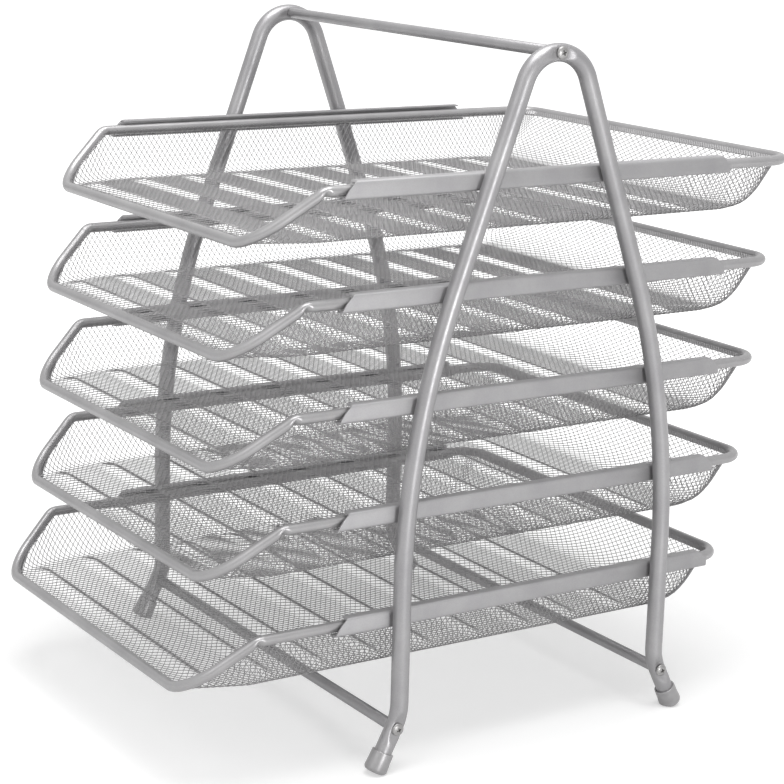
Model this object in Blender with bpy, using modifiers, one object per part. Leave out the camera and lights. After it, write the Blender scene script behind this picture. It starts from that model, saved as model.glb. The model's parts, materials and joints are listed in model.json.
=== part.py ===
"""Five-tier letter tray organizer: bent tube side frames, folded rails and sliding mesh trays."""
import math

import bmesh
import bpy
from mathutils import Matrix, Vector

# Overall sizes, in metres
FRAME_SPACING = 0.2864      # between the centre lines of the two side frames
FRAME_HEIGHT = 0.394        # from the desk to the top of the tube
STANCE = 0.1786             # between the upright parts of the front and rear legs
TIERS = 5
TIER_PITCH = 0.0591
LOW_TIER_HEIGHT = 0.0845    # centre of the lowest tray's rim above the desk

# Side frame tube
TUBE_D = 0.010
APEX_BEND_R = 0.022
LEG_SLOPE = math.radians(20)
LEG_BEND_R = 0.470
FOOT_BEND_HEIGHT = 0.038
FOOT_BEND_R = 0.030
FOOT_ANGLE = math.radians(27)
SCREW_SEAT_DEPTH = 0.0015   # pressed flat under each screw head
BAR_SEAT_DEPTH = 0.0010     # pressed flat behind each bar end
SEAT_FLAT_R = 0.0062
SEAT_BLEND_R = 0.0105

# Bars and screws
BAR_D = 0.0064
BAR_BORE_DEPTH = 0.012
SCREW_D = 0.0034
SCREW_HEAD_D = 0.0072
SCREW_HEAD_HEIGHT = 0.0022
SCREW_RIM = 0.0007          # upright edge of the domed head
SCREW_GRIP = 0.010          # length of thread inside the bar

# Foot caps
CAP_LENGTH = 0.0122
CAP_WALL = 0.0009
CAP_FLARE = 0.0004
CAP_EDGE_R = 0.0022
CAP_FLOOR = 0.0034
CAP_TOE_LIFT = 0.0006       # height of the centre of the cap's end above the desk

# Rails
RAIL_LENGTH = 0.259
RAIL_SETBACK = 0.0013       # middle of the rails behind the middle of the frames
SHEET = 0.0010
FOLD_R = 0.0007
TOP_LIP = 0.0060
BOTTOM_LIP = 0.0055
RAIL_NOSE_RUN = 0.0085
RAIL_NOSE_BULGE = 0.0009
RAIL_TAIL_CHAMFER = 0.0060

# Tray rim
RIM_D = 0.0060
TRAY_LENGTH = 0.3550        # between the rim's front and rear centre lines
RIM_CORNER_R = 0.016
RIM_BEND_R = 0.0045
SLOPE_RUN = 0.0362          # from the bend to the front lip
FRONT_DROP = 0.0281
FRONT_TAPER = 0.0172        # by which each side of the rim draws in at the lip
CLOSED_STOP = 0.004         # rim bend to rail nose when the tray is pushed home
TRAY_PULL = (0.0034, 0.0141, 0.0198, 0.0258, 0.0400)

# Tray basket
LIP_HEIGHT = 0.0002         # centre of the front lip above the floor
SIDE_WALL_ANGLE = math.radians(84)
SIDE_FILLET_R = 0.0075
BACK_WALL_ANGLE = math.radians(60)
BACK_FILLET_R = 0.025
FLOOR_CORNER_R = 0.018
STRAND = 0.0020
CELLS_ACROSS = 6
CELLS_ALONG = 10
RIB_HEIGHT = 0.0022

# Clearances
GAP = 0.0003                # between pieces that touch
RIM_SIDE_PLAY = 0.0019
RIM_TOP_PLAY = 0.0017

# Sizes that follow from those above
TUBE_R = TUBE_D / 2
BAR_R = BAR_D / 2
RIM_R = RIM_D / 2
STRAND_R = STRAND / 2
FRAME_X = FRAME_SPACING / 2
APEX_Z = FRAME_HEIGHT - TUBE_R
WEB_OUTER_X = FRAME_X - TUBE_R - GAP
WEB_INNER_X = WEB_OUTER_X - SHEET
RIM_X = WEB_INNER_X - RIM_SIDE_PLAY - RIM_R
TIER_HEIGHTS = [LOW_TIER_HEIGHT + TIER_PITCH * (TIERS - 1 - tier) for tier in range(TIERS)]
BEND_Y = RAIL_SETBACK - RAIL_LENGTH / 2 - CLOSED_STOP
FRONT_Y = BEND_Y - SLOPE_RUN
REAR_Y = FRONT_Y + TRAY_LENGTH
FRONT_EDGE = FRONT_Y - max(TRAY_PULL)
REAR_EDGE = REAR_Y - min(TRAY_PULL)
CENTRE_SHIFT = -(FRONT_EDGE + REAR_EDGE) / 2
HOLE_R = SCREW_D / 2 + GAP
SHARP_ANGLE = math.radians(40)
NOSE_STEPS = 4


def clear_scene():
    for item in list(bpy.data.objects):
        bpy.data.objects.remove(item, do_unlink=True)


def new_collection(name):
    collection = bpy.data.collections.new(name)
    bpy.context.scene.collection.children.link(collection)
    return collection


clear_scene()
PARTS = new_collection("mesh_desk_organizer")
CUTTERS = new_collection("cutters")


def add_material(piece, colour, roughness, metallic):
    material = bpy.data.materials.new(piece.name + "_finish")
    material.use_nodes = True
    shader = material.node_tree.nodes["Principled BSDF"]
    shader.inputs["Base Color"].default_value = (*colour, 1.0)
    shader.inputs["Roughness"].default_value = roughness
    shader.inputs["Metallic"].default_value = metallic
    piece.data = piece.data if piece.data.users == 1 else piece.data.copy()
    piece.data.materials.clear()
    piece.data.materials.append(material)


def silver_paint(piece):
    add_material(piece, (0.46, 0.455, 0.465), 0.38, 0.85)


def zinc(piece):
    add_material(piece, (0.66, 0.65, 0.63), 0.28, 1.0)


def grey_plastic(piece):
    add_material(piece, (0.40, 0.395, 0.40), 0.50, 0.0)


def add_empty(name, location, parent=None):
    empty = bpy.data.objects.new(name, None)
    PARTS.objects.link(empty)
    empty.location = location
    empty.parent = parent
    return empty


def add_object(name, data, parent=None, location=(0, 0, 0), rotation=(0, 0, 0)):
    piece = bpy.data.objects.new(name, data)
    PARTS.objects.link(piece)
    piece.parent = parent
    piece.location = location
    piece.rotation_euler = rotation
    return piece


def settle(piece):
    """Turn a curve or a modified object into a plain mesh and remove the object."""
    bpy.context.view_layer.update()
    graph = bpy.context.evaluated_depsgraph_get()
    mesh = bpy.data.meshes.new_from_object(piece.evaluated_get(graph))
    mesh.transform(piece.matrix_world)
    bpy.data.objects.remove(piece, do_unlink=True)
    shape = bmesh.new()
    shape.from_mesh(mesh)
    bmesh.ops.remove_doubles(shape, verts=shape.verts, dist=1e-6)
    bmesh.ops.recalc_face_normals(shape, faces=shape.faces)
    shape.to_mesh(mesh)
    shape.free()
    mesh.shade_smooth()
    mesh.set_sharp_from_angle(angle=SHARP_ANGLE)
    return mesh


def tube_mesh(points, radius, resolution, closed=False):
    """Round bar or tube along a line of points."""
    curve = bpy.data.curves.new("tube_path", "CURVE")
    curve.dimensions = "3D"
    curve.bevel_depth = radius
    curve.bevel_resolution = resolution
    curve.use_fill_caps = not closed
    spline = curve.splines.new("POLY")
    spline.points.add(len(points) - 1)
    for target, point in zip(spline.points, points):
        target.co = (*point, 1.0)
    spline.use_cyclic_u = closed
    return settle(add_object("tube_path", curve))


def plate_mesh(outline, thickness, turn):
    """Flat outline in its own XY plane, extruded evenly to both sides, then turned."""
    curve = bpy.data.curves.new("outline", "CURVE")
    curve.dimensions = "2D"
    curve.fill_mode = "BOTH"
    curve.extrude = thickness / 2
    spline = curve.splines.new("POLY")
    spline.points.add(len(outline) - 1)
    for target, (across, up) in zip(spline.points, outline):
        target.co = (across, up, 0.0, 1.0)
    spline.use_cyclic_u = True
    piece = add_object("outline", curve)
    piece.matrix_world = turn
    return settle(piece)


def turned_mesh(profile, steps):
    """Profile of (radius, height) points, top to bottom, turned about Z."""
    mesh = bpy.data.meshes.new("profile")
    shape = bmesh.new()
    corners = [shape.verts.new((radius, 0.0, height)) for radius, height in profile]
    for first, second in zip(corners, corners[1:]):
        shape.edges.new((first, second))
    shape.to_mesh(mesh)
    shape.free()
    piece = add_object("profile", mesh)
    screw = piece.modifiers.new("turn", "SCREW")
    screw.steps = steps
    screw.render_steps = steps
    screw.use_merge_vertices = True
    screw.merge_threshold = 0.00001
    return settle(piece)


def cutter_rod(name, radius, length, location, rotation):
    """Hidden round cutter along its own Z axis."""
    sides = 12
    mesh = turned_mesh([(0, length / 2), (radius, length / 2), (radius, -length / 2), (0, -length / 2)], sides)
    mesh.transform(Matrix.Rotation(math.pi / sides, 4, "Z"))
    cutter = bpy.data.objects.new(name, mesh)
    CUTTERS.objects.link(cutter)
    cutter.location = location
    cutter.rotation_euler = rotation
    return hide_cutter(cutter)


def hide_cutter(cutter):
    cutter.hide_render = True
    cutter.display_type = "WIRE"
    return cutter


def add_boolean(piece, cutter, operation="DIFFERENCE"):
    cut = piece.modifiers.new(operation.lower(), "BOOLEAN")
    cut.operation = operation
    cut.solver = "EXACT"
    cut.object = cutter


def arc(centre, radius, start, end, steps):
    """Points on a circle, as (across, up) pairs."""
    turns = [start + (end - start) * step / steps for step in range(steps + 1)]
    return [(centre[0] + radius * math.cos(turn), centre[1] + radius * math.sin(turn)) for turn in turns]


# Side frames: half of the tube's centre line, from the apex down the rear leg, as (y, z)
def leg_line():
    apex_centre = (0.0, APEX_Z - APEX_BEND_R)
    line = arc(apex_centre, APEX_BEND_R, math.pi / 2, LEG_SLOPE, 5)
    top_y, top_z = line[-1]
    bend_y = STANCE / 2 - LEG_BEND_R * (1 - math.cos(LEG_SLOPE))
    bend_z = top_z - (bend_y - top_y) / math.tan(LEG_SLOPE)
    leg_centre = (STANCE / 2 - LEG_BEND_R, bend_z - LEG_BEND_R * math.sin(LEG_SLOPE))
    line += arc(leg_centre, LEG_BEND_R, LEG_SLOPE, 0.0, 5)
    foot_centre = (STANCE / 2 + FOOT_BEND_R, FOOT_BEND_HEIGHT)
    line += arc(foot_centre, FOOT_BEND_R, math.pi, math.pi + FOOT_ANGLE, 4)
    return line


LEG_LINE = leg_line()
FOOT_SCREW_Y, FOOT_SCREW_Z = LEG_LINE[-1]
FOOT_AXIS = (math.sin(FOOT_ANGLE), -math.cos(FOOT_ANGLE))
FOOT_REACH = (FOOT_SCREW_Z - CAP_TOE_LIFT) / math.cos(FOOT_ANGLE)


def foot_point(distance):
    """Point on the rear foot's axis, measured from the end of the foot bend."""
    return FOOT_SCREW_Y + FOOT_AXIS[0] * distance, FOOT_SCREW_Z + FOOT_AXIS[1] * distance


SCREW_POINTS = {
    "handle": (0.0, APEX_Z),
    "front": (-FOOT_SCREW_Y, FOOT_SCREW_Z),
    "rear": (FOOT_SCREW_Y, FOOT_SCREW_Z),
}


def press_seats(mesh):
    """Press the flats for the screw heads and the bar ends into a tube that faces +X."""
    for vertex in mesh.vertices:
        for seat_y, seat_z in SCREW_POINTS.values():
            reach = math.hypot(vertex.co.y - seat_y, vertex.co.z - seat_z)
            blend = min(1.0, max(0.0, (SEAT_BLEND_R - reach) / (SEAT_BLEND_R - SEAT_FLAT_R)))
            outer = TUBE_R - SCREW_SEAT_DEPTH * blend
            inner = TUBE_R - BAR_SEAT_DEPTH * blend
            vertex.co.x = min(outer, max(-inner, vertex.co.x))


def build_frames(root):
    line = LEG_LINE + [foot_point(0.006), foot_point(FOOT_REACH - CAP_FLOOR - GAP)]
    rear = [(0.0, y, z) for y, z in line]
    front = [(0.0, -y, z) for y, z in reversed(line[1:])]
    mesh = tube_mesh(front + rear, TUBE_R, 4)
    press_seats(mesh)
    for side, sign in (("right", 1), ("left", -1)):
        frame_mesh = mesh.copy()
        frame_mesh.transform(Matrix.Scale(sign, 4, (1, 0, 0)))
        if sign < 0:
            frame_mesh.flip_normals()
        frame = add_object(side + "_side_frame", frame_mesh, root, (sign * FRAME_X, 0, 0))
        for place, (y, z) in SCREW_POINTS.items():
            hole = cutter_rod(f"{side}_{place}_hole", HOLE_R, 2 * TUBE_D,
                              (sign * FRAME_X, y + CENTRE_SHIFT, z), (0, math.pi / 2, 0))
            add_boolean(frame, hole)
        silver_paint(frame)


# Rods between the frames: the carrying handle at the apex and two cross bars at the feet
BAR_END_X = FRAME_X - TUBE_R + BAR_SEAT_DEPTH - GAP
SCREW_SEAT_X = FRAME_X + TUBE_R - SCREW_SEAT_DEPTH + GAP


def build_bars(root):
    bore_end = BAR_END_X - BAR_BORE_DEPTH
    half = [(0, bore_end), (HOLE_R, bore_end), (HOLE_R, BAR_END_X), (BAR_R, BAR_END_X)]
    profile = half + [(radius, -height) for radius, height in reversed(half)]
    mesh = turned_mesh(profile, 12)
    for name, place in (("handle_bar", "handle"), ("front_cross_bar", "front"), ("rear_cross_bar", "rear")):
        y, z = SCREW_POINTS[place]
        bar = add_object(name, mesh, root, (0, y, z), (0, math.pi / 2, 0))
        silver_paint(bar)


def build_screws(root):
    head_r = SCREW_HEAD_D / 2
    shank_r = SCREW_D / 2
    tip = BAR_END_X - SCREW_GRIP - SCREW_SEAT_X
    dome = arc((0, 0), 1.0, math.pi / 2, 0, 2)
    profile = [(head_r * across, SCREW_RIM + (SCREW_HEAD_HEIGHT - SCREW_RIM) * up) for across, up in dome]
    profile += [(head_r, 0), (shank_r, 0), (shank_r, tip), (0, tip)]
    mesh = turned_mesh(profile, 10)
    for side, sign in (("right", 1), ("left", -1)):
        for place, (y, z) in SCREW_POINTS.items():
            screw = add_object(f"{side}_{place}_screw", mesh, root,
                               (sign * SCREW_SEAT_X, y, z), (0, sign * math.pi / 2, 0))
            zinc(screw)


# Foot caps: turned cups on the tube ends, with a level sole cut on the desk plane
def build_caps(root):
    socket_r = TUBE_R + GAP
    top_r = socket_r + CAP_WALL
    sole_r = top_r + CAP_FLARE
    edge = arc((sole_r - CAP_EDGE_R, CAP_EDGE_R), CAP_EDGE_R, 0, -math.pi / 2, 2)
    profile = [(0, CAP_FLOOR), (socket_r, CAP_FLOOR), (socket_r, CAP_LENGTH), (top_r, CAP_LENGTH)]
    profile += edge + [(0, 0)]
    mesh = turned_mesh(profile, 12)
    end_y, end_z = foot_point(FOOT_REACH)
    for side, x in (("right", FRAME_X), ("left", -FRAME_X)):
        for place, sign in (("front", -1), ("rear", 1)):
            cap = add_object(f"{side}_{place}_foot_cap", mesh.copy(), root,
                             (x, sign * end_y, end_z), (sign * FOOT_ANGLE, 0, 0))
            slab = plate_mesh([(-0.02, -0.02), (0.02, -0.02), (0.02, 0.02), (-0.02, 0.02)], 0.02,
                              Matrix.Translation((x, sign * end_y + CENTRE_SHIFT, -0.01)))
            desk = bpy.data.objects.new(f"{side}_{place}_desk_cut", slab)
            CUTTERS.objects.link(desk)
            add_boolean(cap, hide_cutter(desk))
            grey_plastic(cap)


# Rails: folded channel section about the rim's centre line, as (outward, up)
def rail_section():
    outer = WEB_OUTER_X - RIM_X
    floor_top = -RIM_R - GAP
    roof_low = RIM_R + RIM_TOP_PLAY
    bend = FOLD_R + SHEET
    low = (outer - bend, floor_top - SHEET + bend)
    high = (outer - bend, roof_low + SHEET - bend)
    section = [(outer - BOTTOM_LIP, floor_top - SHEET)]
    section += arc(low, bend, -math.pi / 2, 0, 3)
    section += arc(high, bend, 0, math.pi / 2, 3)
    section += [(outer - TOP_LIP, roof_low + SHEET), (outer - TOP_LIP, roof_low)]
    section += arc(high, FOLD_R, math.pi / 2, 0, 2)
    section += arc(low, FOLD_R, 0, -math.pi / 2, 2)
    section += [(outer - BOTTOM_LIP, floor_top)]
    return section


def rail_side():
    """Side view of a rail, as (y, z): raked nose at the front, chamfered tail."""
    low = -RIM_R - GAP - SHEET - GAP
    high = RIM_R + RIM_TOP_PLAY + SHEET + GAP
    front = -RAIL_LENGTH / 2
    rear = RAIL_LENGTH / 2
    outline = [(rear, low), (rear, high - RAIL_TAIL_CHAMFER), (rear - RAIL_TAIL_CHAMFER, high)]
    for step in range(NOSE_STEPS, -1, -1):
        share = step / NOSE_STEPS
        run = RAIL_NOSE_RUN * share - RAIL_NOSE_BULGE * math.sin(math.pi * share)
        outline.append((front + run, low + (high - low) * share))
    return outline


def build_rails(root):
    stand_up = Matrix.Rotation(math.pi / 2, 4, "X")
    face_out = Matrix.Rotation(math.pi / 2, 4, "Z") @ stand_up
    channel = add_object("channel", plate_mesh(rail_section(), RAIL_LENGTH + 0.01, stand_up))
    blank = add_object("blank", plate_mesh(rail_side(), 0.04, face_out))
    add_boolean(channel, blank, "INTERSECT")
    right = settle(channel)
    bpy.data.objects.remove(blank, do_unlink=True)
    left = right.copy()
    left.transform(Matrix.Scale(-1, 4, (1, 0, 0)))
    left.flip_normals()
    for tier, z in enumerate(TIER_HEIGHTS):
        for side, sign, mesh in (("right", 1, right), ("left", -1, left)):
            rail = add_object(f"{side}_rail_{tier + 1}", mesh, root, (sign * RIM_X, RAIL_SETBACK, z))
            silver_paint(rail)


# Tray rims: a rounded rectangle in plan, level at the sides, that dips and narrows to the front lip
def slope_share(y):
    """Share of the front slope that is passed at a place along the tray, with a rounded start."""
    passed = BEND_Y - y
    if passed <= -RIM_BEND_R:
        return 0.0
    if passed < RIM_BEND_R:
        passed = (passed + RIM_BEND_R) ** 2 / (4 * RIM_BEND_R)
    return passed / SLOPE_RUN


def taper(x, y):
    return x * (1 - FRONT_TAPER / RIM_X * slope_share(y))


def rim_line():
    side = RIM_X - RIM_CORNER_R
    quarter = math.pi / 2
    rear = arc((side, REAR_Y - RIM_CORNER_R), RIM_CORNER_R, quarter, 0, 4)
    bend = [(RIM_X, BEND_Y + RIM_BEND_R * step) for step in (1.0, 0.35, -0.35, -1.0)]
    front = arc((side, FRONT_Y + RIM_CORNER_R), RIM_CORNER_R, 0, -quarter, 4)
    half = [(taper(x, y), y) for x, y in rear + bend + front]
    plan = half + [(-x, y) for x, y in reversed(half)]
    return [(x, y, -FRONT_DROP * slope_share(y)) for x, y in plan]


# Tray baskets: a sheet of expanded metal with a flat floor, steep sides and a sloping back
class Fold:
    """Section of a wall that turns up from the floor with a fillet and goes on straight."""

    def __init__(self, angle, fillet):
        self.angle = angle
        self.fillet = fillet
        self.bend = fillet * angle
        self.bend_rise = fillet * (1 - math.cos(angle))

    def reach(self, rise):
        """Length of sheet from the edge of the floor up to a height."""
        if rise <= self.bend_rise:
            return self.fillet * math.acos(1 - rise / self.fillet)
        return self.bend + (rise - self.bend_rise) / math.sin(self.angle)

    def point(self, reach):
        """Run and rise at a length of sheet past the edge of the floor."""
        turn = min(reach, self.bend) / self.fillet
        wall = max(0.0, reach - self.bend)
        run = self.fillet * math.sin(turn) + wall * math.cos(self.angle)
        rise = self.fillet * (1 - math.cos(turn)) + wall * math.sin(self.angle)
        return run, rise


SIDE = Fold(SIDE_WALL_ANGLE, SIDE_FILLET_R)
BACK = Fold(BACK_WALL_ANGLE, BACK_FILLET_R)
EDGE_INSET = RIM_R + GAP + STRAND_R
EDGE_DROP = EDGE_INSET / 3
EDGE_CORNER_R = RIM_CORNER_R - EDGE_INSET
BASKET_DEPTH = FRONT_DROP + LIP_HEIGHT
SIDE_REACH = SIDE.reach(BASKET_DEPTH - EDGE_DROP)
BACK_REACH = BACK.reach(BASKET_DEPTH - EDGE_DROP)
FLOOR_X = RIM_X - EDGE_INSET - SIDE.point(SIDE_REACH)[0]
FLOOR_FRONT = FRONT_Y + EDGE_INSET
FLOOR_REAR = REAR_Y - EDGE_INSET - BACK.point(BACK_REACH)[0]
FLOOR_LENGTH = FLOOR_REAR - FLOOR_FRONT
SLOPE_ROW = BEND_Y + RIM_BEND_R - FLOOR_FRONT
ROW_PITCH = (FLOOR_LENGTH + BACK_REACH - SLOPE_ROW) / (CELLS_ALONG - 1)


def edge_height(y):
    """Height above the floor of the basket's edge, which hangs on the inner side of the rim."""
    share = slope_share(y)
    return BASKET_DEPTH - FRONT_DROP * share - EDGE_DROP * (1 - share)


def round_off(over_x, over_y):
    """Carry a point in the square between a corner and the centre of its arc to the quarter disc."""
    if min(over_x, over_y) <= 0:
        return over_x, over_y
    reach = max(over_x, over_y)
    turn = math.pi / 4 * (over_y / over_x if over_x >= over_y else 2 - over_x / over_y)
    return reach * math.cos(turn), reach * math.sin(turn)


def basket_point(across, along):
    """Place a point of the flat sheet, given by its distances from the middle and the front edge."""
    over_x = max(0.0, abs(across) - FLOOR_X) / SIDE_REACH
    over_y = max(0.0, along - FLOOR_LENGTH) / BACK_REACH
    level = max(over_x, over_y)
    share_x = over_x / level if level else 0.0
    share_y = over_y / level if level else 0.0
    back_run, back_rise = BACK.point(level * BACK_REACH)
    y = FLOOR_FRONT + min(along, FLOOR_LENGTH) + back_run * share_y
    reach = SIDE.reach(edge_height(y))
    side_run, side_rise = SIDE.point(level * reach)
    floor_x = RIM_X - EDGE_INSET - SIDE.point(reach)[0]
    x = min(abs(across), FLOOR_X) * floor_x / FLOOR_X + side_run * share_x
    rise = (side_rise * share_x + back_rise * share_y) / max(1.0, share_x + share_y)
    corner_x = floor_x + side_run
    rear_r = FLOOR_CORNER_R + (EDGE_CORNER_R - FLOOR_CORNER_R) * level
    for radius, corner_y, way in ((rear_r, FLOOR_REAR + back_run, 1), (RIM_CORNER_R, FLOOR_FRONT, -1)):
        centre_x = corner_x - radius
        centre_y = corner_y - way * radius
        over = round_off(x - centre_x, way * (y - centre_y))
        x = centre_x + over[0]
        y = centre_y + way * over[1]
    return Vector((math.copysign(taper(x, y), across), y, rise - BASKET_DEPTH))


def rib_height(row):
    """Height of the low ribs that are pressed across the floor between two rows of the net."""
    return RIB_HEIGHT * (0.5 - 0.5 * math.cos(2 * math.pi * row))


def basket_sheet():
    """Diamond net: a grid of squares, each poked at its centre, without the grid's own inner lines."""
    mesh = bpy.data.meshes.new("basket_sheet")
    net = bmesh.new()
    bmesh.ops.create_grid(net, x_segments=CELLS_ACROSS, y_segments=CELLS_ALONG, size=1.0)
    grid_lines = [edge for edge in net.edges if not edge.is_boundary]
    bmesh.ops.poke(net, faces=net.faces)
    bmesh.ops.dissolve_edges(net, edges=grid_lines)
    for vertex in net.verts:
        row = (vertex.co.y + 1) / 2 * CELLS_ALONG
        across = vertex.co.x * (FLOOR_X + SIDE_REACH)
        along = SLOPE_ROW * min(row, 1.0) + ROW_PITCH * max(0.0, row - 1.0)
        vertex.co = basket_point(across, along)
        if abs(across) < FLOOR_X and along < FLOOR_LENGTH:
            vertex.co.z += rib_height(row)
    bmesh.ops.recalc_face_normals(net, faces=net.faces)
    net.to_mesh(mesh)
    net.free()
    return mesh


def build_trays(root):
    rim_mesh = tube_mesh(rim_line(), RIM_R, 2, closed=True)
    sheet_mesh = basket_sheet()
    for tier, (z, pull) in enumerate(zip(TIER_HEIGHTS, TRAY_PULL)):
        slide = add_empty(f"tray_{tier + 1}_slide", (0, -pull, z), root)
        rim = add_object(f"tray_{tier + 1}_rim", rim_mesh, slide)
        silver_paint(rim)
        basket = add_object(f"tray_{tier + 1}_basket", sheet_mesh.copy(), slide)
        strands = basket.modifiers.new("strands", "WIREFRAME")
        strands.thickness = STRAND
        strands.use_even_offset = True
        strands.use_boundary = True
        strands.use_replace = True
        silver_paint(basket)


def build_organizer():
    root = add_empty("organizer", (0, CENTRE_SHIFT, 0))
    build_frames(root)
    build_bars(root)
    build_screws(root)
    build_caps(root)
    build_rails(root)
    build_trays(root)


build_organizer()
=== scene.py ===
"""Looks of the mesh desk organizer: fine expanded-metal trays, tubes, folded rails and silver paint."""
import json
import math

import bmesh
import bpy
from mathutils import Matrix, Vector

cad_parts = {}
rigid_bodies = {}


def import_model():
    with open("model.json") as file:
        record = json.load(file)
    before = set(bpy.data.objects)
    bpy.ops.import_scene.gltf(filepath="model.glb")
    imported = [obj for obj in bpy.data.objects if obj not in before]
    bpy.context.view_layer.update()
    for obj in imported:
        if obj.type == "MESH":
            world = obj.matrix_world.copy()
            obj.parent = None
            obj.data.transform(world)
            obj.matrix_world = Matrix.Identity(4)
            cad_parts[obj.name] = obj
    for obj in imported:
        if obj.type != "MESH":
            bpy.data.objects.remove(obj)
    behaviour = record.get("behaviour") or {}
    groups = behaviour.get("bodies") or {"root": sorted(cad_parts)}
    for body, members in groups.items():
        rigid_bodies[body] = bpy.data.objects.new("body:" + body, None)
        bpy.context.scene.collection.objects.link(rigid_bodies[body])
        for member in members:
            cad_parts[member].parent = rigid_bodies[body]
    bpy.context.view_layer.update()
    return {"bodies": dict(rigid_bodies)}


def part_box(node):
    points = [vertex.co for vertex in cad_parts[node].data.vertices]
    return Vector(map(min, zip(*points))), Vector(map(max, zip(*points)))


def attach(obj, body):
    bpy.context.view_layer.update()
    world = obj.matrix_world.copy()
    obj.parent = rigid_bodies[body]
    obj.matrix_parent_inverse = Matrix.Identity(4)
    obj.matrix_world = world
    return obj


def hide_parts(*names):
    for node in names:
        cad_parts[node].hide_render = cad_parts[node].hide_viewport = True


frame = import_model()
scene = bpy.context.scene

# Camera of the photograph, in metres and degrees
CAMERA_AT = (1.0810, -0.6947, 0.4903)
CAMERA_AZIMUTH = 57.05
CAMERA_DOWN = 13.87
CAMERA_ROLL = 1.5
CAMERA_LENS = 100.55        # in millimetres, as the sensor
CAMERA_SENSOR = 36.0

# Tube frame, in metres
TUBE_R = 0.005
APEX_BEND_R = 0.022
LEG_SLOPE = math.radians(20)
LEG_BEND_R = 0.470
HALF_STANCE = 0.0893
FOOT_BEND_HEIGHT = 0.038
FOOT_BEND_R = 0.030
FOOT_ANGLE = math.radians(27)
SCREW_SEAT_DEPTH = 0.0017
BAR_SEAT_DEPTH = 0.0010
SEAT_FLAT_R = 0.0042
SEAT_BLEND_R = 0.0105
FOOT_STEP = 0.0015          # between the rings of the tube around the foot's screw seat
TUBE_END_LIFT = 0.0040      # end of the tube above the cap's sole, inside the cap
BAR_R = 0.0032
BAR_EDGE = 0.0004

# Screws and foot caps
SCREW_HEAD_R = 0.0036
SCREW_HEAD_HEIGHT = 0.0022
SCREW_RIM = 0.0006          # upright edge of the domed head
SCREW_EDGE = 0.0002
SCREW_SHANK_R = 0.0017
SCREW_LENGTH = 0.016
SCREW_GAP = 0.0002          # under the head
RECESS_TOP = 0.0019         # half width of the cross recess at the top of the head
RECESS_FLOOR = 0.0009       # half width and height of its floor
RECESS_CEILING = 0.0030     # where its cutter ends, above the head
RECESS_SLOT = 0.0008
RECESS_TURN = math.radians(20)
CAP_LENGTH = 0.0122
CAP_TOP_R = 0.0062
CAP_SOLE_R = 0.0066
CAP_EDGE_R = 0.0022
CAP_LIFT = 0.0006
CAP_LIP_R = 0.0005
CAP_SOCKET = 0.0030         # depth of the socket that shows around the tube
CAP_PLAY = 0.0001
CAP_SWELL = 0.55            # where the cap's wall starts to swell, as a share of its length

# Rails
SHEET = 0.0010
SHEET_EDGE = 0.00018
FOLD_R = 0.0006
TOP_LIP = 0.0060
BOTTOM_LIP = 0.0055
NOSE_RUN = 0.0085
NOSE_BULGE = 0.0009
NOSE_STEPS = 12
TAIL_CHAMFER = 0.0060
RAIL_FLOOR = 0.0033         # rim centre down to the lip that it rests on
RAIL_ROOF = 0.0047          # rim centre up to the top lip
CUT_OVER = 0.0003           # by which the cutter of the ends stands over the channel
CUT_LENGTH = 0.0100         # by which the uncut channel is longer
CUT_WIDTH = 0.0400

# Trays
RIM_R = 0.0030
RIM_CORNER_R = 0.016
RIM_BEND_R = 0.0030
RIM_STEP = 0.04             # between the rings of the rim's straight sides
RIM_FIRST_Y = 0.12          # the rearmost of those rings
CRIMP_DEPTH = 0.0012        # buckle under the rim's bend
CRIMP_WIDTH = 0.0018
SLOPE_RUN = 0.0362          # from the rim's bend to the front lip
FRONT_DROP = 0.0281
FRONT_TAPER = 0.0172        # by which each side draws in at the lip
CLOSED_STOP = 0.0040        # rim bend to rail nose when the tray is pushed home
LIP_HEIGHT = 0.0002         # centre of the front lip above the floor
SIDE_WALL_ANGLE = math.radians(84)
SIDE_FILLET_R = 0.0075
BACK_WALL_ANGLE = math.radians(60)
BACK_FILLET_R = 0.025
FLOOR_CORNER_R = 0.018
MESH_EDGE = 0.0028          # from the rim's centre to the edge of the mesh
MESH_CELL_X = 0.0055
MESH_CELL_Y = 0.0035
STRAND = 0.00058
HEM_WIDTH = 0.0026          # of the pressed edge of the mesh, at the rear wall
HEM_SIDE_SHARE = 0.28       # part of that width along the sides and the front
HEM_PITCH = 0.0011
HEM_PUCKER = 0.00014        # height of the small bumps pressed into the hem
HEM_SHEET = 0.0005
RIB_PITCH = 0.0342
RIB_LEAD = 0.0185           # first rib ahead of the rim's bend
RIB_COUNT = 9
RIB_WIDTH = 0.0135
RIB_HEIGHT = 0.0022
RIB_FADE = 0.014            # length over which a rib dies out towards the sides

# White stage
FLOOR_SIZE = 24.0
FLOOR_DROP = 0.0005         # below the soles of the caps
FLOOR_GREY = 0.60
GLOW_NEAR = 0.25            # distances between which the floor's white rises
GLOW_FAR = 1.10
GLOW_LOW = 0.50
WORLD_LIGHT = 0.30

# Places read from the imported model
right_low, right_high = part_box("right_side_frame")
FRAME_X = (right_low.x + right_high.x) / 2
MIDDLE_Y = (right_low.y + right_high.y) / 2
APEX_Z = right_high.z - TUBE_R
SIDES = (("right", 1), ("left", -1))
TRAYS = [name for name in frame["bodies"] if name.startswith("tray_")]


# Small tools for making pieces
def link(name, data):
    piece = bpy.data.objects.new(name, data)
    scene.collection.objects.link(piece)
    return piece


def settle(piece):
    """Plain mesh of a curve or of an object with modifiers, and no object."""
    bpy.context.view_layer.update()
    graph = bpy.context.evaluated_depsgraph_get()
    mesh = bpy.data.meshes.new_from_object(piece.evaluated_get(graph))
    mesh.transform(piece.matrix_world)
    bpy.data.objects.remove(piece, do_unlink=True)
    return mesh


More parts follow.
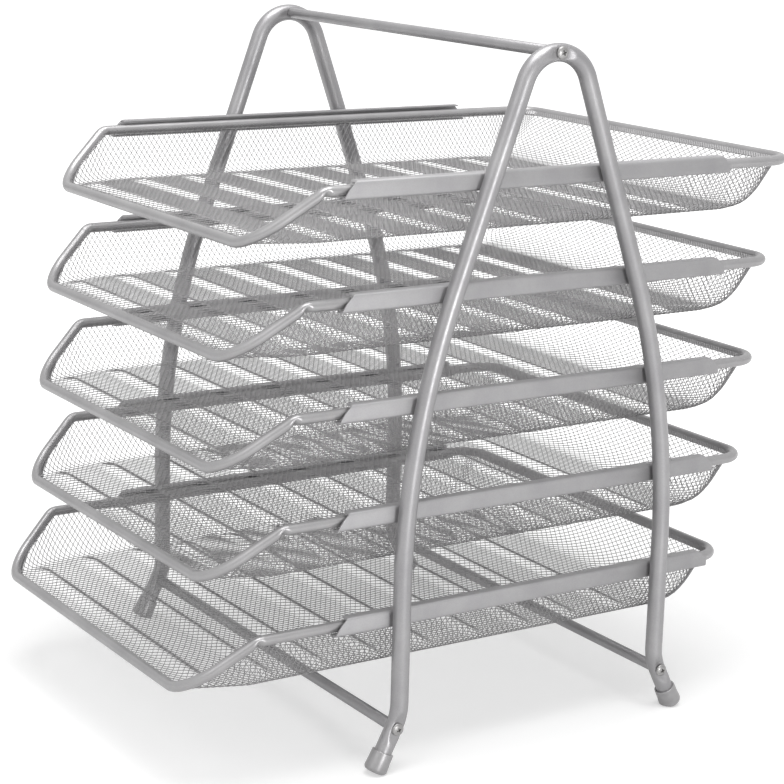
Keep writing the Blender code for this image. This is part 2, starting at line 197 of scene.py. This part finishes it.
def weld(mesh, distance=1e-6):
    shape = bmesh.new()
    shape.from_mesh(mesh)
    bmesh.ops.remove_doubles(shape, verts=shape.verts, dist=distance)
    bmesh.ops.recalc_face_normals(shape, faces=shape.faces)
    shape.to_mesh(mesh)
    shape.free()
    return mesh


def shade(mesh, angle=35):
    mesh.shade_smooth()
    mesh.set_sharp_from_angle(angle=math.radians(angle))
    return mesh


def arc(centre, radius, start, end, steps):
    turns = [start + (end - start) * step / steps for step in range(steps + 1)]
    return [(centre[0] + radius * math.cos(turn), centre[1] + radius * math.sin(turn)) for turn in turns]


def tube_mesh(points, radius, closed=False):
    curve = bpy.data.curves.new("tube", "CURVE")
    curve.dimensions = "3D"
    curve.bevel_depth = radius
    curve.bevel_resolution = 10
    curve.use_fill_caps = not closed
    spline = curve.splines.new("POLY")
    spline.points.add(len(points) - 1)
    for target, point in zip(spline.points, points):
        target.co = (*point, 1.0)
    spline.use_cyclic_u = closed
    return weld(settle(link("tube", curve)))


def plate_mesh(outline, thickness, turn):
    curve = bpy.data.curves.new("outline", "CURVE")
    curve.dimensions = "2D"
    curve.fill_mode = "BOTH"
    curve.extrude = thickness / 2
    spline = curve.splines.new("POLY")
    spline.points.add(len(outline) - 1)
    for target, (across, up) in zip(spline.points, outline):
        target.co = (across, up, 0.0, 1.0)
    spline.use_cyclic_u = True
    piece = link("outline", curve)
    piece.matrix_world = turn
    return weld(settle(piece))


def turned_mesh(profile, steps):
    mesh = bpy.data.meshes.new("profile")
    shape = bmesh.new()
    corners = [shape.verts.new((radius, 0.0, height)) for radius, height in profile]
    for first, second in zip(corners, corners[1:]):
        shape.edges.new((first, second))
    bmesh.ops.spin(shape, geom=shape.verts[:] + shape.edges[:], cent=(0, 0, 0), axis=(0, 0, 1),
                   angle=2 * math.pi, steps=steps)
    bmesh.ops.remove_doubles(shape, verts=shape.verts, dist=1e-6)
    bmesh.ops.recalc_face_normals(shape, faces=shape.faces)
    shape.to_mesh(mesh)
    shape.free()
    return mesh


def combine(mesh, cutter_mesh, operation):
    piece = link("piece", mesh)
    cutter = link("cutter", cutter_mesh)
    cut = piece.modifiers.new("cut", "BOOLEAN")
    cut.operation = operation
    cut.solver = "EXACT"
    cut.object = cutter
    result = settle(piece)
    bpy.data.objects.remove(cutter, do_unlink=True)
    return weld(result)


def soften(mesh, width, segments=2, angle=40):
    """Round the sharp edges a little, so that they catch the light."""
    piece = link("soft", mesh)
    bevel = piece.modifiers.new("edges", "BEVEL")
    bevel.width = width
    bevel.segments = segments
    bevel.limit_method = "ANGLE"
    bevel.angle_limit = math.radians(angle)
    return settle(piece)


def mirrored(mesh):
    other = mesh.copy()
    other.transform(Matrix.Scale(-1, 4, (1, 0, 0)))
    other.flip_normals()
    return other


def place(name, mesh, node, body, material, where=(0, 0, 0), turn=(0, 0, 0)):
    """Put a finished piece where its node is."""
    piece = link(name, mesh)
    piece.location = where
    piece.rotation_euler = turn
    piece.data.materials.clear()
    piece.data.materials.append(material)
    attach(piece, body)
    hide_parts(node)
    return piece


# Materials
class Finish:
    """Builds one procedural material around its shader."""

    def __init__(self, name, metallic):
        self.material = bpy.data.materials.new(name)
        self.material.use_nodes = True
        self.tree = self.material.node_tree
        self.shader = self.tree.nodes["Principled BSDF"]
        self.shader.inputs["Metallic"].default_value = metallic
        self.coords = self.tree.nodes.new("ShaderNodeTexCoord").outputs["Object"]

    def noise(self, scale, detail=3.0, roughness=0.55):
        node = self.tree.nodes.new("ShaderNodeTexNoise")
        node.inputs["Scale"].default_value = scale
        node.inputs["Detail"].default_value = detail
        node.inputs["Roughness"].default_value = roughness
        self.tree.links.new(self.coords, node.inputs["Vector"])
        return node.outputs["Fac"]

    def flakes(self, scale):
        node = self.tree.nodes.new("ShaderNodeTexVoronoi")
        node.inputs["Scale"].default_value = scale
        self.tree.links.new(self.coords, node.inputs["Vector"])
        grey = self.tree.nodes.new("ShaderNodeRGBToBW")
        self.tree.links.new(node.outputs["Color"], grey.inputs["Color"])
        return grey.outputs["Val"]

    def ramp(self, factor, stops):
        node = self.tree.nodes.new("ShaderNodeValToRGB")
        for element, (position, colour) in zip(node.color_ramp.elements, stops):
            element.position = position
            element.color = (*colour, 1.0)
        self.tree.links.new(factor, node.inputs["Fac"])
        return node.outputs["Color"]

    def span(self, factor, low, high):
        node = self.tree.nodes.new("ShaderNodeMapRange")
        node.inputs["From Min"].default_value = 0.25
        node.inputs["From Max"].default_value = 0.75
        node.inputs["To Min"].default_value = low
        node.inputs["To Max"].default_value = high
        self.tree.links.new(factor, node.inputs["Value"])
        return node.outputs["Result"]

    def mix(self, factor, first, second):
        node = self.tree.nodes.new("ShaderNodeMix")
        node.data_type = "RGBA"
        node.inputs["Factor"].default_value = factor
        self.tree.links.new(first, node.inputs["A"])
        self.tree.links.new(second, node.inputs["B"])
        return node.outputs["Result"]

    def bump(self, height, strength, distance):
        node = self.tree.nodes.new("ShaderNodeBump")
        node.inputs["Strength"].default_value = strength
        node.inputs["Distance"].default_value = distance
        self.tree.links.new(height, node.inputs["Height"])
        self.tree.links.new(node.outputs["Normal"], self.shader.inputs["Normal"])

    def drive(self, socket, output):
        self.tree.links.new(output, self.shader.inputs[socket])


def silver_paint(name, dark, light, roughness, metallic=0.55):
    """Sprayed aluminium paint: cloudy grey, fine flakes and a faint orange peel."""
    finish = Finish(name, metallic)
    clouds = finish.ramp(finish.noise(38.0), [(0.30, dark), (0.72, light)])
    flakes = finish.ramp(finish.flakes(2600.0), [(0.10, dark), (0.95, light)])
    finish.drive("Base Color", finish.mix(0.35, clouds, flakes))
    finish.drive("Roughness", finish.span(finish.noise(240.0), roughness - 0.06, roughness + 0.07))
    finish.bump(finish.noise(300.0, 1.0), 0.05, 0.0002)
    return finish.material


def zinc_plate():
    finish = Finish("zinc_plate", 0.8)
    finish.drive("Base Color", finish.ramp(finish.noise(420.0), [(0.30, (0.27, 0.265, 0.265)),
                                                                   (0.75, (0.40, 0.395, 0.39))]))
    finish.drive("Roughness", finish.span(finish.noise(900.0), 0.30, 0.46))
    finish.bump(finish.noise(500.0, 1.0), 0.05, 0.0002)
    return finish.material


def grey_plastic():
    finish = Finish("cap_plastic", 0.35)
    finish.drive("Base Color", finish.ramp(finish.noise(160.0), [(0.25, (0.31, 0.305, 0.31)),
                                                                   (0.80, (0.39, 0.385, 0.39))]))
    finish.drive("Roughness", finish.span(finish.noise(700.0), 0.30, 0.42))
    finish.bump(finish.noise(500.0, 1.0), 0.08, 0.0002)
    return finish.material


FRAME_PAINT = silver_paint("frame_paint", (0.29, 0.285, 0.295), (0.38, 0.375, 0.38), 0.40)
RAIL_PAINT = silver_paint("rail_paint", (0.315, 0.31, 0.32), (0.40, 0.395, 0.40), 0.50, 0.42)
RIM_PAINT = silver_paint("rim_paint", (0.31, 0.305, 0.31), (0.40, 0.395, 0.40), 0.34)
MESH_PAINT = silver_paint("mesh_paint", (0.29, 0.285, 0.29), (0.39, 0.385, 0.39), 0.40)
ZINC = zinc_plate()
PLASTIC = grey_plastic()


# Side frames
def leg_line():
    """Centre line of the rear half of a side frame, from the apex to the end of the foot bend, as (y, z)."""
    line = arc((0.0, APEX_Z - APEX_BEND_R), APEX_BEND_R, math.pi / 2, LEG_SLOPE, 22)
    top_y, top_z = line[-1]
    bend_y = HALF_STANCE - LEG_BEND_R * (1 - math.cos(LEG_SLOPE))
    bend_z = top_z - (bend_y - top_y) / math.tan(LEG_SLOPE)
    centre = (HALF_STANCE - LEG_BEND_R, bend_z - LEG_BEND_R * math.sin(LEG_SLOPE))
    line += arc(centre, LEG_BEND_R, LEG_SLOPE, 0.0, 24)
    line += arc((HALF_STANCE + FOOT_BEND_R, FOOT_BEND_HEIGHT), FOOT_BEND_R, math.pi, math.pi + FOOT_ANGLE, 12)
    return line


LEG_LINE = leg_line()
FOOT_Y, FOOT_Z = LEG_LINE[-1]
FOOT_REACH = (FOOT_Z - CAP_LIFT) / math.cos(FOOT_ANGLE)
SCREW_POINTS = {"handle": (0.0, APEX_Z), "front": (-FOOT_Y, FOOT_Z), "rear": (FOOT_Y, FOOT_Z)}


def foot_point(distance):
    return FOOT_Y + math.sin(FOOT_ANGLE) * distance, FOOT_Z - math.cos(FOOT_ANGLE) * distance


def press_seats(mesh):
    """Press the screw seats into the outer face of the tube and the bar seats into its inner face."""
    for vertex in mesh.vertices:
        for seat_y, seat_z in SCREW_POINTS.values():
            reach = math.hypot(vertex.co.y - seat_y, vertex.co.z - seat_z)
            share = min(1.0, max(0.0, (SEAT_BLEND_R - reach) / (SEAT_BLEND_R - SEAT_FLAT_R)))
            blend = share * share * (3 - 2 * share)
            outer = TUBE_R - SCREW_SEAT_DEPTH * blend
            inner = TUBE_R - BAR_SEAT_DEPTH * blend
            vertex.co.x = min(outer, max(-inner, vertex.co.x))


def build_frames():
    line = LEG_LINE + [foot_point(FOOT_STEP * step) for step in range(1, 9)]
    line.append(foot_point(FOOT_REACH - TUBE_END_LIFT))
    points = [(0.0, -y, z) for y, z in reversed(line[1:])] + [(0.0, y, z) for y, z in line]
    mesh = tube_mesh(points, TUBE_R)
    press_seats(mesh)
    shade(mesh, 50)
    for side, sign in SIDES:
        shape = mesh.copy() if sign > 0 else mirrored(mesh)
        place(side + "_frame_tube", shape, side + "_side_frame", "frame", FRAME_PAINT,
              (sign * FRAME_X, MIDDLE_Y, 0))


# Rods, screws and foot caps
def build_bars():
    for node, seat in (("handle_bar", "handle"), ("front_cross_bar", "front"), ("rear_cross_bar", "rear")):
        low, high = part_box(node)
        y, z = SCREW_POINTS[seat]
        half = (high.x - low.x) / 2
        profile = [(0, half), (BAR_R - BAR_EDGE, half), (BAR_R, half - BAR_EDGE), (BAR_R, BAR_EDGE - half),
                   (BAR_R - BAR_EDGE, -half), (0, -half)]
        mesh = shade(turned_mesh(profile, 32), 50)
        place(node + "_rod", mesh, node, "frame", FRAME_PAINT,
              (0, y + MIDDLE_Y, z), (0, math.pi / 2, 0))


def screw_mesh():
    """Pan head with a cross recess, on the start of its shank."""
    head = arc((0, 0), 1.0, math.pi / 2, 0, 8)
    profile = [(SCREW_HEAD_R * x, SCREW_RIM + (SCREW_HEAD_HEIGHT - SCREW_RIM) * z) for x, z in head]
    profile += [(SCREW_HEAD_R, SCREW_EDGE), (SCREW_HEAD_R - SCREW_EDGE, 0.0)]
    profile += [(SCREW_SHANK_R, 0.0), (SCREW_SHANK_R, -SCREW_LENGTH), (0, -SCREW_LENGTH)]
    mesh = turned_mesh(profile, 36)
    blade = [(-RECESS_TOP, RECESS_CEILING), (-RECESS_FLOOR, RECESS_FLOOR),
             (RECESS_FLOOR, RECESS_FLOOR), (RECESS_TOP, RECESS_CEILING)]
    for turn in (0, math.pi / 2):
        stand = Matrix.Rotation(turn + RECESS_TURN, 4, "Z") @ Matrix.Rotation(math.pi / 2, 4, "X")
        mesh = combine(mesh, plate_mesh(blade, RECESS_SLOT, stand), "DIFFERENCE")
    return shade(mesh, 40)


def build_screws():
    mesh = screw_mesh()
    seat_x = FRAME_X + TUBE_R - SCREW_SEAT_DEPTH + SCREW_GAP
    for side, sign in SIDES:
        for seat, (y, z) in SCREW_POINTS.items():
            node = f"{side}_{seat}_screw"
            place(f"{side}_{seat}_pan_screw", mesh.copy(), node, "frame", ZINC,
                  (sign * seat_x, y + MIDDLE_Y, z), (0, sign * math.pi / 2, 0))


def build_caps():
    edge = arc((CAP_SOLE_R - CAP_EDGE_R, CAP_EDGE_R), CAP_EDGE_R, 0, -math.pi / 2, 8)
    lip = arc((CAP_TOP_R - CAP_LIP_R, CAP_LENGTH - CAP_LIP_R), CAP_LIP_R, math.pi / 2, 0, 4)
    socket_r = TUBE_R + CAP_PLAY
    profile = [(socket_r, CAP_LENGTH - CAP_SOCKET), (socket_r, CAP_LENGTH)] + lip
    profile += [(CAP_TOP_R + CAP_PLAY, CAP_LENGTH * CAP_SWELL)] + edge + [(0, 0)]
    cup = turned_mesh(profile, 40)
    end_y, end_z = foot_point(FOOT_REACH)
    for side, x in (("right", FRAME_X), ("left", -FRAME_X)):
        for end, sign in (("front", -1), ("rear", 1)):
            node = f"{side}_{end}_foot_cap"
            where = Vector((x, sign * end_y + MIDDLE_Y, end_z))
            turn = Matrix.Translation(where) @ Matrix.Rotation(sign * FOOT_ANGLE, 4, "X")
            shape = bmesh.new()
            shape.from_mesh(cup)
            bmesh.ops.transform(shape, matrix=turn, verts=shape.verts)
            cut = bmesh.ops.bisect_plane(shape, geom=shape.verts[:] + shape.edges[:] + shape.faces[:],
                                         plane_co=(0, 0, 0), plane_no=(0, 0, -1), clear_outer=True)
            rim = [item for item in cut["geom_cut"] if isinstance(item, bmesh.types.BMEdge)]
            bmesh.ops.contextual_create(shape, geom=rim)
            bmesh.ops.recalc_face_normals(shape, faces=shape.faces)
            mesh = bpy.data.meshes.new(node)
            shape.to_mesh(mesh)
            shape.free()
            place(node + "_cup", shade(mesh, 40), node, "frame", PLASTIC)


# Rails
def rail_mesh():
    """Folded channel about the rim's centre line, cut to a raked nose and a chamfered tail."""
    low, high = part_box("right_rail_1")
    rim_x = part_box("tray_1_rim")[1].x - RIM_R
    outer = high.x - rim_x
    bend = FOLD_R + SHEET
    lower = (outer - bend, bend - RAIL_FLOOR - SHEET)
    upper = (outer - bend, RAIL_ROOF + SHEET - bend)
    section = [(outer - BOTTOM_LIP, -RAIL_FLOOR - SHEET)]
    section += arc(lower, bend, -math.pi / 2, 0, 6)
    section += arc(upper, bend, 0, math.pi / 2, 6)
    section += [(outer - TOP_LIP, RAIL_ROOF + SHEET), (outer - TOP_LIP, RAIL_ROOF)]
    section += arc(upper, FOLD_R, math.pi / 2, 0, 4)
    section += arc(lower, FOLD_R, 0, -math.pi / 2, 4)
    section += [(outer - BOTTOM_LIP, -RAIL_FLOOR)]
    half = (high.y - low.y) / 2
    base = -RAIL_FLOOR - SHEET - CUT_OVER
    top = RAIL_ROOF + SHEET + CUT_OVER
    side = [(half, base), (half, top - TAIL_CHAMFER), (half - TAIL_CHAMFER, top)]
    for step in range(NOSE_STEPS, -1, -1):
        share = step / NOSE_STEPS
        run = NOSE_RUN * share - NOSE_BULGE * math.sin(math.pi * share)
        side.append((run - half, base + (top - base) * share))
    stand_up = Matrix.Rotation(math.pi / 2, 4, "X")
    face_out = Matrix.Rotation(math.pi / 2, 4, "Z") @ stand_up
    channel = plate_mesh(section, 2 * half + CUT_LENGTH, stand_up)
    mesh = combine(channel, plate_mesh(side, CUT_WIDTH, face_out), "INTERSECT")
    return shade(soften(mesh, SHEET_EDGE), 30), rim_x


def build_rails():
    mesh, rim_x = rail_mesh()
    for tray in TRAYS:
        tier = tray.split("_")[1]
        for side, sign in SIDES:
            node = f"{side}_rail_{tier}"
            low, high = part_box(node)
            shape = mesh.copy() if sign > 0 else mirrored(mesh)
            where = (sign * rim_x, (low.y + high.y) / 2, low.z + RAIL_FLOOR + SHEET)
            place(node + "_channel", shape, node, "frame", RAIL_PAINT, where)


# Tray rims and baskets, about the rim's centre line with the tray pushed home
tray_low, tray_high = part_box("tray_1_rim")
RIM_X = tray_high.x - RIM_R
TRAY_LENGTH = tray_high.y - tray_low.y - 2 * RIM_R
BEND_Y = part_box("right_rail_1")[0].y - MIDDLE_Y - CLOSED_STOP
FRONT_Y = BEND_Y - SLOPE_RUN
REAR_Y = FRONT_Y + TRAY_LENGTH


def slope_share(y):
    """Share of the front slope that is passed at a place along the tray, with a rounded start."""
    passed = BEND_Y - y
    if passed <= -RIM_BEND_R:
        return 0.0
    if passed < RIM_BEND_R:
        passed = (passed + RIM_BEND_R) ** 2 / (4 * RIM_BEND_R)
    return passed / SLOPE_RUN


def taper(x, y):
    return x * (1 - FRONT_TAPER / RIM_X * slope_share(y))


def rim_line():
    side = RIM_X - RIM_CORNER_R
    quarter = math.pi / 2
    rear = arc((side, REAR_Y - RIM_CORNER_R), RIM_CORNER_R, quarter, 0, 14)
    straight = [(RIM_X, RIM_FIRST_Y - RIM_STEP * step) for step in range(6)]
    bend = [(RIM_X, BEND_Y + RIM_BEND_R * (2.0 - 0.2 * step)) for step in range(21)]
    front = arc((side, FRONT_Y + RIM_CORNER_R), RIM_CORNER_R, 0, -quarter, 14)
    half = [(taper(x, y), y) for x, y in rear + straight + bend + front]
    plan = half + [(-x, y) for x, y in reversed(half)]
    return [(x, y, -FRONT_DROP * slope_share(y)) for x, y in plan]


def crimp_bends(mesh):
    """Buckle the outer, lower wall of the rim where it was bent to the front slope."""
    for vertex in mesh.vertices:
        out = abs(vertex.co.x) - taper(RIM_X, vertex.co.y)
        below = -FRONT_DROP * slope_share(vertex.co.y) - vertex.co.z
        facing = max(0.0, (out + below) / (RIM_R * math.sqrt(2)))
        dent = CRIMP_DEPTH * facing * math.exp(-((vertex.co.y - BEND_Y) / CRIMP_WIDTH) ** 2)
        vertex.co.x -= math.copysign(dent, vertex.co.x)
        vertex.co.z += dent


def build_rims():
    mesh = tube_mesh(rim_line(), RIM_R, closed=True)
    crimp_bends(mesh)
    shade(mesh, 60)
    for tray in TRAYS:
        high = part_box(tray + "_rim")[1]
        place(tray + "_rolled_rim", mesh.copy(), tray + "_rim", tray, RIM_PAINT,
              (0, high.y - RIM_R - REAR_Y, high.z - RIM_R))


class Fold:
    """Section of a wall that turns up from the floor with a fillet and goes on straight."""

    def __init__(self, angle, fillet):
        self.angle = angle
        self.fillet = fillet
        self.bend = fillet * angle
        self.bend_rise = fillet * (1 - math.cos(angle))

    def reach(self, rise):
        """Length of sheet from the edge of the floor up to a height."""
        if rise <= self.bend_rise:
            return self.fillet * math.acos(1 - rise / self.fillet)
        return self.bend + (rise - self.bend_rise) / math.sin(self.angle)

    def point(self, reach):
        """Run and rise at a length of sheet past the edge of the floor."""
        turn = min(reach, self.bend) / self.fillet
        wall = max(0.0, reach - self.bend)
        run = self.fillet * math.sin(turn) + wall * math.cos(self.angle)
        rise = self.fillet * (1 - math.cos(turn)) + wall * math.sin(self.angle)
        return run, rise


SIDE = Fold(SIDE_WALL_ANGLE, SIDE_FILLET_R)
BACK = Fold(BACK_WALL_ANGLE, BACK_FILLET_R)
EDGE_X = RIM_X - MESH_EDGE
EDGE_CORNER_R = RIM_CORNER_R - MESH_EDGE
BASKET_DEPTH = FRONT_DROP + LIP_HEIGHT
SIDE_REACH = SIDE.reach(BASKET_DEPTH)
BACK_REACH = BACK.reach(BASKET_DEPTH)
FLOOR_X = EDGE_X - SIDE.point(SIDE_REACH)[0]
FLOOR_FRONT = FRONT_Y + MESH_EDGE
FLOOR_REAR = REAR_Y - MESH_EDGE - BACK.point(BACK_REACH)[0]
FLOOR_LENGTH = FLOOR_REAR - FLOOR_FRONT


def round_off(over_x, over_y):
    """Carry a point in the square between a corner and the centre of its arc to the quarter disc."""
    if min(over_x, over_y) <= 0:
        return over_x, over_y
    reach = max(over_x, over_y)
    turn = math.pi / 4 * (over_y / over_x if over_x >= over_y else 2 - over_x / over_y)
    return reach * math.cos(turn), reach * math.sin(turn)


def rib_height(x, y):
    """Pressed cross ribs: low half-round beads at an even pitch, which die out towards the sides."""
    first = BEND_Y - RIB_LEAD
    nearest = min(RIB_COUNT - 1, max(0, round((y - first) / RIB_PITCH)))
    away = abs(y - first - nearest * RIB_PITCH) / (RIB_WIDTH / 2)
    fade = min(1.0, max(0.0, (FLOOR_X - abs(x)) / RIB_FADE))
    return RIB_HEIGHT * fade * (0.5 + 0.5 * math.cos(math.pi * min(away, 1.0)))


def basket_point(across, along):
    """Place of a point of the flat sheet on the pressed basket, and whether it lies past the rim."""
    over_x = max(0.0, abs(across) - FLOOR_X) / SIDE_REACH
    over_y = max(0.0, along - FLOOR_LENGTH) / BACK_REACH
    level = max(over_x, over_y)
    share_x = over_x / level if level else 0.0
    share_y = over_y / level if level else 0.0
    back_run, back_rise = BACK.point(level * BACK_REACH)
    y = FLOOR_FRONT + min(along, FLOOR_LENGTH) + back_run * share_y
    top = SIDE.reach(BASKET_DEPTH - FRONT_DROP * slope_share(y))
    side_run, side_rise = SIDE.point(min(level * SIDE_REACH, top))
    floor_x = EDGE_X - SIDE.point(top)[0]
    x = min(abs(across), FLOOR_X) * floor_x / FLOOR_X + side_run * share_x
    rise = (side_rise * share_x + back_rise * share_y) / max(1.0, share_x + share_y)
    front_over = max(0.0, FLOOR_FRONT + EDGE_CORNER_R - y)
    limit = EDGE_X - EDGE_CORNER_R + math.sqrt(max(0.0, EDGE_CORNER_R ** 2 - front_over ** 2))
    past_rim = x > limit or over_x * SIDE_REACH > top + 1e-6
    x = min(x, limit)
    radius = FLOOR_CORNER_R + (EDGE_CORNER_R - FLOOR_CORNER_R) * level
    centre_x = floor_x + side_run - radius
    centre_y = FLOOR_REAR + back_run - radius
    rounded = round_off(x - centre_x, y - centre_y)
    x = centre_x + rounded[0]
    y = centre_y + rounded[1]
    z = rise - BASKET_DEPTH + rib_height(across, y)
    return Vector((math.copysign(taper(x, y), across), y, z)), past_rim


def even_steps(line, pitch):
    """Points at about an even pitch along a closed line."""
    steps = []
    for first, second in zip(line, line[1:] + line[:1]):
        count = max(1, round((second - first).length / pitch))
        steps += [first.lerp(second, step / count) for step in range(count)]
    return steps


def hem_mesh():
    """Edge of the sheet, folded back and pressed: a puckered band on the inner side of the rim."""
    line = even_steps([Vector(point) for point in rim_line()], HEM_PITCH)
    middle = Vector((0, (FRONT_Y + REAR_Y) / 2, 0))
    band = bmesh.new()
    rows = []
    for number, point in enumerate(line):
        along = (line[(number + 1) % len(line)] - line[number - 1]).normalized()
        inward = Vector((-along.y, along.x, 0)).normalized()
        if inward.dot(middle - point) < 0:
            inward.negate()
        end_angle = BACK_WALL_ANGLE if inward.y < 0 else 0.0
        lean = SIDE_WALL_ANGLE * inward.x ** 2 + end_angle * inward.y ** 2
        across = inward * math.cos(lean) - Vector((0, 0, math.sin(lean)))
        across = (across - along * across.dot(along)).normalized()
        bump = along.cross(across) * HEM_PUCKER
        width = HEM_WIDTH * (HEM_SIDE_SHARE + (1 - HEM_SIDE_SHARE) * max(0.0, -inward.y))
        start = point + inward * (MESH_EDGE + HEM_SHEET) - across * width / 4
        rows.append([band.verts.new(start + across * width * step / 2 + bump * (-1) ** (number + step))
                     for step in range(3)])
    for first, second in zip(rows, rows[1:] + rows[:1]):
        for step in range(2):
            band.faces.new((first[step], first[step + 1], second[step + 1], second[step]))
    bmesh.ops.recalc_face_normals(band, faces=band.faces)
    mesh = bpy.data.meshes.new("hem")
    band.to_mesh(mesh)
    band.free()
    piece = link("hem", mesh)
    thick = piece.modifiers.new("sheet", "SOLIDIFY")
    thick.thickness = HEM_SHEET
    thick.offset = 0.0
    return settle(piece)


def basket_mesh():
    """Expanded metal: a grid poked at its centres, without its inner lines, formed and turned to strands."""
    half_width = FLOOR_X + SIDE_REACH
    length = FLOOR_LENGTH + BACK_REACH
    net = bmesh.new()
    bmesh.ops.create_grid(net, x_segments=round(2 * half_width / MESH_CELL_X),
                          y_segments=round(length / MESH_CELL_Y), size=1.0)
    grid_lines = [edge for edge in net.edges if not edge.is_boundary]
    bmesh.ops.poke(net, faces=net.faces)
    bmesh.ops.dissolve_edges(net, edges=grid_lines)
    cut_off = set()
    for vertex in net.verts:
        vertex.co, past_rim = basket_point(vertex.co.x * half_width, (vertex.co.y + 1) / 2 * length)
        if past_rim:
            cut_off.add(vertex)
    waste = [face for face in net.faces if cut_off.issuperset(face.verts)]
    bmesh.ops.delete(net, geom=waste, context="FACES")
    bmesh.ops.recalc_face_normals(net, faces=net.faces)
    sheet = bpy.data.meshes.new("basket")
    net.to_mesh(sheet)
    net.free()
    piece = link("basket", sheet)
    strands = piece.modifiers.new("strands", "WIREFRAME")
    strands.thickness = STRAND
    strands.use_even_offset = False
    strands.use_boundary = True
    strands.use_replace = True
    strand_mesh = settle(piece)
    strand_mesh.shade_smooth()
    whole = bmesh.new()
    whole.from_mesh(strand_mesh)
    whole.from_mesh(hem_mesh())
    whole.to_mesh(strand_mesh)
    whole.free()
    return strand_mesh


def build_baskets():
    mesh = basket_mesh()
    mesh.materials.clear()
    mesh.materials.append(MESH_PAINT)
    for tray in TRAYS:
        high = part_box(tray + "_rim")[1]
        piece = link(tray + "_expanded_mesh", mesh)
        piece.location = (0, high.y - RIM_R - REAR_Y, high.z - RIM_R)
        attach(piece, tray)
        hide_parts(tray + "_basket")


# Stage, light and camera
def looked_at(nodes, links):
    """One for rays that the camera, a glossy surface or a clear one sees, and nought for light."""
    path = nodes.new("ShaderNodeLightPath")
    seen = path.outputs["Is Camera Ray"]
    for ray in ("Is Glossy Ray", "Is Transmission Ray"):
        either = nodes.new("ShaderNodeMath")
        either.operation = "MAXIMUM"
        links.new(seen, either.inputs[0])
        links.new(path.outputs[ray], either.inputs[1])
        seen = either.outputs["Value"]
    return seen


def white_stage():
    bpy.ops.mesh.primitive_plane_add(size=FLOOR_SIZE, location=(0, 0, -FLOOR_DROP))
    floor = bpy.context.object
    floor.name = "floor"
    material = bpy.data.materials.new("white_floor")
    material.use_nodes = True
    nodes = material.node_tree.nodes
    links = material.node_tree.links
    nodes.clear()
    out = nodes.new("ShaderNodeOutputMaterial")
    diffuse = nodes.new("ShaderNodeBsdfDiffuse")
    diffuse.inputs["Color"].default_value = (FLOOR_GREY, FLOOR_GREY, FLOOR_GREY, 1.0)
    glow = nodes.new("ShaderNodeEmission")
    place_on = nodes.new("ShaderNodeTexCoord")
    distance = nodes.new("ShaderNodeVectorMath")
    distance.operation = "LENGTH"
    links.new(place_on.outputs["Object"], distance.inputs[0])
    level = nodes.new("ShaderNodeMapRange")
    level.inputs["From Min"].default_value = GLOW_NEAR
    level.inputs["From Max"].default_value = GLOW_FAR
    level.inputs["To Min"].default_value = GLOW_LOW
    level.inputs["To Max"].default_value = 1.0
    links.new(distance.outputs["Value"], level.inputs["Value"])
    seen = nodes.new("ShaderNodeMath")
    seen.operation = "MULTIPLY"
    links.new(looked_at(nodes, links), seen.inputs[0])
    links.new(level.outputs["Result"], seen.inputs[1])
    links.new(seen.outputs["Value"], glow.inputs["Strength"])
    both = nodes.new("ShaderNodeAddShader")
    links.new(diffuse.outputs["BSDF"], both.inputs[0])
    links.new(glow.outputs["Emission"], both.inputs[1])
    links.new(both.outputs["Shader"], out.inputs["Surface"])
    floor.data.materials.append(material)


def white_world():
    world = bpy.data.worlds.new("studio")
    scene.world = world
    world.use_nodes = True
    nodes = world.node_tree.nodes
    links = world.node_tree.links
    back = nodes["Background"]
    back.inputs["Color"].default_value = (1.0, 1.0, 1.0, 1.0)
    level = nodes.new("ShaderNodeMapRange")
    level.inputs["To Min"].default_value = WORLD_LIGHT
    level.inputs["To Max"].default_value = 1.0
    links.new(looked_at(nodes, links), level.inputs["Value"])
    links.new(level.outputs["Result"], back.inputs["Strength"])


def soft_lamp(name, where, size, power, target=(0, 0, 0.2)):
    lamp = bpy.data.lights.new(name, "AREA")
    lamp.shape = "RECTANGLE"
    lamp.size = size[0]
    lamp.size_y = size[1]
    lamp.energy = power
    holder = link(name, lamp)
    holder.location = where
    holder.rotation_euler = (Vector(target) - Vector(where)).to_track_quat("-Z", "Y").to_euler()


def photo_camera():
    azimuth, down, roll = (math.radians(angle) for angle in (CAMERA_AZIMUTH, CAMERA_DOWN, CAMERA_ROLL))
    ahead = Vector((-math.sin(azimuth) * math.cos(down), math.cos(azimuth) * math.cos(down), -math.sin(down)))
    level = Vector((math.cos(azimuth), math.sin(azimuth), 0.0))
    upright = level.cross(ahead)
    right = math.cos(roll) * level + math.sin(roll) * upright
    up = math.cos(roll) * upright - math.sin(roll) * level
    camera = bpy.data.cameras.new("camera")
    camera.lens = CAMERA_LENS
    camera.sensor_width = CAMERA_SENSOR
    camera.clip_start = 0.05
    camera.clip_end = 60.0
    holder = link("camera", camera)
    pose = Matrix((right, up, -ahead)).transposed().to_4x4()
    pose.translation = Vector(CAMERA_AT)
    holder.matrix_world = pose
    scene.camera = holder


photo_camera()
white_stage()
white_world()
soft_lamp("top", (0.2, -0.1, 2.3), (1.6, 1.6), 48)
soft_lamp("strip", (2.0, -0.2, 0.3), (0.3, 0.5), 13)
soft_lamp("front", (0.6, -1.9, 1.5), (1.2, 1.0), 6)
build_frames()
build_bars()
build_screws()
build_caps()
build_rails()
build_rims()
build_baskets()
scene.view_settings.view_transform = "Standard"
